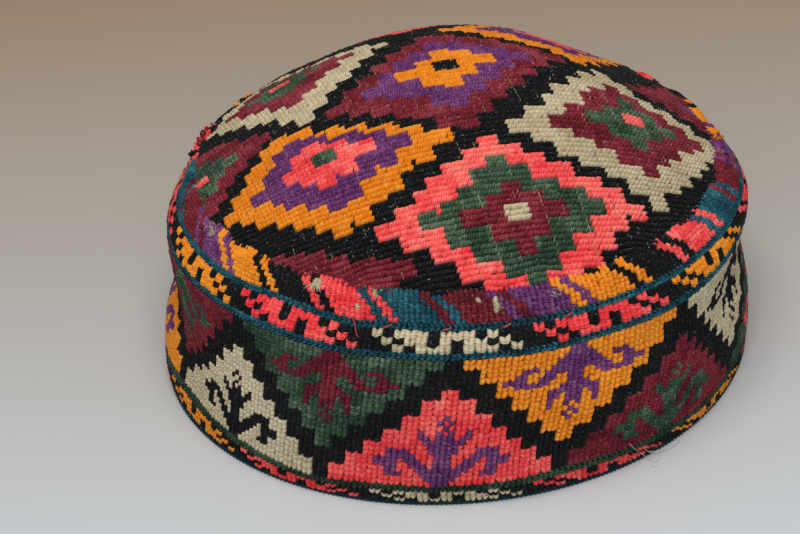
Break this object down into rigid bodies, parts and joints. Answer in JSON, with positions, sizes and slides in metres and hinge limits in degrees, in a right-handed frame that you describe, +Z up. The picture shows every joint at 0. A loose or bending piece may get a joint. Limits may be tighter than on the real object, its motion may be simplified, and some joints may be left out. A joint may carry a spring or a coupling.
{
  "type": "embroidered hat",
  "caption": "Round domed cap of counted wool stitches on canvas, with a folded side band, nested diamonds on the crown and an overcast rim.",
  "frame": {"origin": "middle of the rim on the surface that the hat stands on", "axes": "+Z up through the middle of the crown, the wearer's front faces -Y, +X to the right as seen from the front"},
  "size_m": [0.181, 0.1796, 0.0946],
  "materials": {
    "black_wool": "matte",
    "coral_wool": "matte",
    "orange_wool": "matte",
    "purple_wool": "matte",
    "maroon_wool": "matte",
    "green_wool": "matte",
    "teal_wool": "matte",
    "cream_cotton": "matte"
  },
  "bodies": {
    "root": {"side_band": "black_wool", "crown_disc": "coral_wool", "rim_edging": "teal_wool"}
  },
  "joints": []
}
